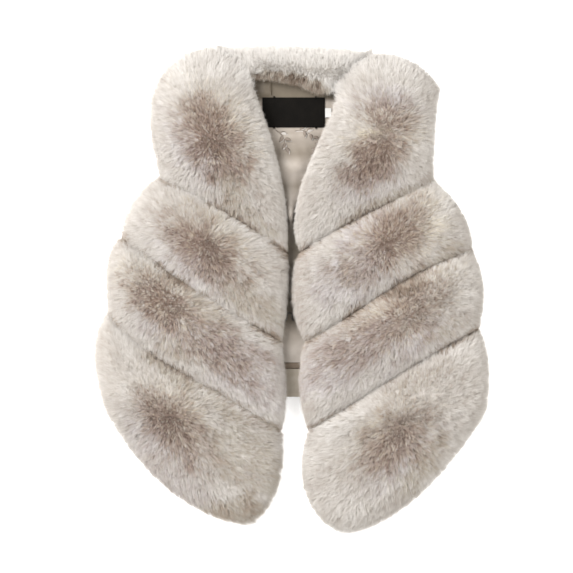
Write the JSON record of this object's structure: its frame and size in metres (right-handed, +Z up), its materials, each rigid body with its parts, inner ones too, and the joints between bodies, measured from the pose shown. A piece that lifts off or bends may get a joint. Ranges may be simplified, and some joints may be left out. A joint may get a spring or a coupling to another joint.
{
  "type": "faux fur vest laid flat",
  "caption": "Short sleeveless faux fur vest laid flat, its fronts pieced from plump slanting fur bands with a V neck, round hem lobes and a lined back.",
  "frame": {"origin": "middle of the vest's footprint, on the surface it lies on", "axes": "+Z up from that surface, +Y towards the neck, +X towards the wearer's left"},
  "size_m": [0.4501, 0.5564, 0.0521],
  "materials": {
    "fur": "dense soft pile, light warm grey with taupe dyed patches",
    "lining": "satin woven lining",
    "facing": "matt ribbed facing cloth",
    "label": "black woven ribbon, bare",
    "tag": "white woven ribbon, bare",
    "wire": "black lacquered wire"
  },
  "bodies": {
    "root": {"back_panel": "fur", "neck_collar": "fur", "front_right_shoulder_band": "fur", "front_right_chest_band": "fur", "front_right_waist_band": "fur", "front_right_hem_lobe": "fur", "front_left_shoulder_band": "fur", "front_left_chest_band": "fur", "front_left_waist_band": "fur", "front_left_hem_lobe": "fur", "back_lining": "lining", "back_hem_facing": "facing", "neck_label": "label", "size_tag": "tag", "hook_eye": "wire"}
  },
  "joints": []
}
